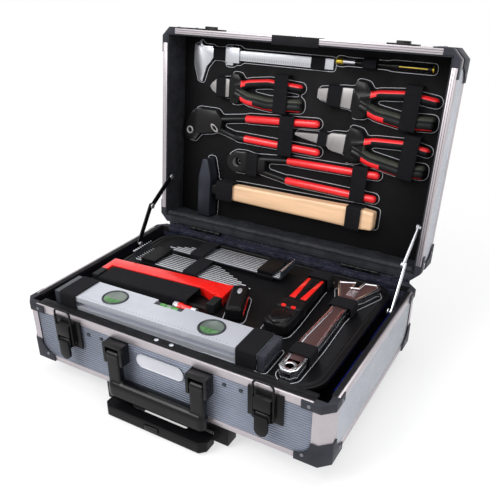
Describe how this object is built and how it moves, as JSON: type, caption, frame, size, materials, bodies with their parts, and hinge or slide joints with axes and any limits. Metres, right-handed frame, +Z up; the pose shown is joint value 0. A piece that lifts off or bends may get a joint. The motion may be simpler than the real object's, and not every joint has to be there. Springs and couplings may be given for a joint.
{
  "type": "trolley tool case",
  "caption": "Aluminium-framed tool case on wheels with a hinged lid, latches, stays, a pull-out trolley grip, a lift-out pallet and hand tools held by straps.",
  "frame": {"origin": "on the floor, under the middle of the open case's box", "axes": "+X to the right seen from the front, +Y to the back where the lid's hinges are, +Z up"},
  "size_m": [0.4632, 0.4384, 0.4429],
  "materials": {
    "panel": "ribbed aluminium-effect sheet",
    "profile": "satin anodised",
    "cap": "moulded, fine grain",
    "lining": "black leatherette, fine grain",
    "strap": "woven elastic",
    "steel": "bright",
    "chrome": "polished",
    "plate": "satin, bare",
    "black_metal": "black, satin",
    "black_plastic": "moulded",
    "foot": "matt",
    "driver": "blue handles",
    "pen": "dark with a brass tip",
    "plier": "red and black two-part grips on steel jaws",
    "forged": "dark lacquered",
    "wood": "clear lacquered ash",
    "level": "anodised",
    "vial": "green liquid in clear acrylic",
    "saw": "red gloss",
    "torch": "red with silver bands"
  },
  "bodies": {
    "base": {"base_panels": "panel", "base_profiles": "profile", "base_corner_caps": "cap", "base_lining": "lining", "rivets_and_studs": "steel", "rubber_feet": "foot", "hinge_base_leaves": "steel", "pivot_pins": "steel", "latch_plates": "black_metal", "handle_brackets": "black_plastic", "name_plate": "plate", "trolley_rails": "profile", "trolley_brackets": "cap", "wheel_forks": "cap", "lower_tray": "cap", "sockets": "chrome", "screwdrivers": "driver"},
    "lid": {"lid_panels": "panel", "lid_profiles": "profile", "lid_corner_caps": "cap", "lid_board": "lining", "lid_catches": "black_metal", "lid_straps": "strap", "hinge_lid_leaves": "steel", "caliper": "steel", "pickup_pen": "pen", "diagonal_cutters": "plier", "combination_pliers": "plier", "long_nose_pliers": "plier", "water_pump_pliers": "plier", "tower_pincers": "plier", "hammer_head": "forged", "hammer_handle": "wood"},
    "pallet": {"tool_pallet": "cap", "pallet_straps": "strap", "spirit_level": "level", "level_vials": "vial", "hacksaw_frame": "saw", "hacksaw_grip": "black_plastic", "small_torch": "torch", "hex_keys": "steel", "hex_key_holders": "cap", "utility_knife": "black_plastic", "adjustable_wrench": "chrome"},
    "latch_lever_left": {"latch_lever_left": "black_metal"},
    "latch_lever_right": {"latch_lever_right": "black_metal"},
    "latch_bail_left": {"latch_bail_left": "black_metal"},
    "latch_bail_right": {"latch_bail_right": "black_metal"},
    "carry_handle": {"carry_handle": "black_plastic"},
    "trolley_button": {"trolley_button": "black_plastic"},
    "wheel_left": {"wheel_left": "foot"},
    "wheel_right": {"wheel_right": "foot"},
    "stay_lower_left": {"stay_lower_left": "black_metal"},
    "stay_lower_right": {"stay_lower_right": "steel"},
    "stay_upper_left": {"stay_upper_left": "black_metal"},
    "stay_upper_right": {"stay_upper_right": "steel"},
    "trolley_middle": {"trolley_middle_tubes": "profile"},
    "trolley_stage": {"trolley_inner_tubes": "profile", "trolley_grip": "black_plastic"}
  },
  "joints": [
    {"name": "lid_hinge", "type": "hinge", "parent": "base", "child": "lid", "pos_m": [0, 0.12483, 0.125], "axis": [-1, 0, 0], "range_deg": [-96.9, 0]},
    {"name": "latch_lever_left", "type": "hinge", "parent": "base", "child": "latch_lever_left", "pos_m": [-0.151, -0.19917, 0.087], "axis": [-1, 0, 0], "range_deg": [0, 100]},
    {"name": "latch_bail_left", "type": "hinge", "parent": "latch_lever_left", "child": "latch_bail_left", "pos_m": [-0.151, -0.19917, 0.079], "axis": [-1, 0, 0], "range_deg": [-100, 0]},
    {"name": "latch_lever_right", "type": "hinge", "parent": "base", "child": "latch_lever_right", "pos_m": [0.151, -0.19917, 0.087], "axis": [-1, 0, 0], "range_deg": [0, 100]},
    {"name": "latch_bail_right", "type": "hinge", "parent": "latch_lever_right", "child": "latch_bail_right", "pos_m": [0.151, -0.19917, 0.079], "axis": [-1, 0, 0], "range_deg": [-100, 0]},
    {"name": "carry_handle", "type": "hinge", "parent": "base", "child": "carry_handle", "pos_m": [0, -0.20167, 0.095], "axis": [-1, 0, 0], "range_deg": [0, 100]},
    {"name": "stay_lower_left", "type": "hinge", "parent": "base", "child": "stay_lower_left", "pos_m": [-0.2182, 0.04283, 0.1155], "axis": [-1, 0, 0], "range_deg": [-112, 0]},
    {"name": "stay_upper_left", "type": "hinge", "parent": "stay_lower_left", "child": "stay_upper_left", "pos_m": [-0.2157, 0.08143, 0.16965], "axis": [-1, 0, 0], "range_deg": [0, 145]},
    {"name": "stay_lower_right", "type": "hinge", "parent": "base", "child": "stay_lower_right", "pos_m": [0.2182, 0.04283, 0.1155], "axis": [-1, 0, 0], "range_deg": [-112, 0]},
    {"name": "stay_upper_right", "type": "hinge", "parent": "stay_lower_right", "child": "stay_upper_right", "pos_m": [0.2157, 0.08143, 0.16965], "axis": [-1, 0, 0], "range_deg": [0, 145]},
    {"name": "trolley_slide", "type": "slide", "parent": "base", "child": "trolley_middle", "axis": [0, -1, 0], "range_m": [0, 0.2]},
    {"name": "trolley_second_slide", "type": "slide", "parent": "trolley_middle", "child": "trolley_stage", "axis": [0, -1, 0], "range_m": [0, 0.2]},
    {"name": "trolley_button", "type": "slide", "parent": "trolley_stage", "child": "trolley_button", "axis": [0, 1, 0], "range_m": [0, 0.0012], "stiffness_N_per_m": 400},
    {"name": "wheel_left", "type": "hinge", "parent": "base", "child": "wheel_left", "pos_m": [-0.174, 0.11183, 0.0165], "axis": [-1, 0, 0], "continuous": true},
    {"name": "wheel_right", "type": "hinge", "parent": "base", "child": "wheel_right", "pos_m": [0.174, 0.11183, 0.0165], "axis": [-1, 0, 0], "continuous": true},
    {"name": "pallet_lift", "type": "slide", "parent": "base", "child": "pallet", "axis": [0, 0, 1], "range_m": [0, 0.12]}
  ],
  "couplings": [
    {"joint": "latch_bail_left", "follows": "latch_lever_left", "ratio": -1},
    {"joint": "latch_bail_right", "follows": "latch_lever_right", "ratio": -1},
    {"joint": "stay_lower_left", "follows": "lid_hinge", "ratio": 1.1473},
    {"joint": "stay_upper_left", "follows": "lid_hinge", "ratio": -1.4939},
    {"joint": "stay_lower_right", "follows": "lid_hinge", "ratio": 1.1473},
    {"joint": "stay_upper_right", "follows": "lid_hinge", "ratio": -1.4939},
    {"joint": "trolley_second_slide", "follows": "trolley_slide", "ratio": 1}
  ]
}
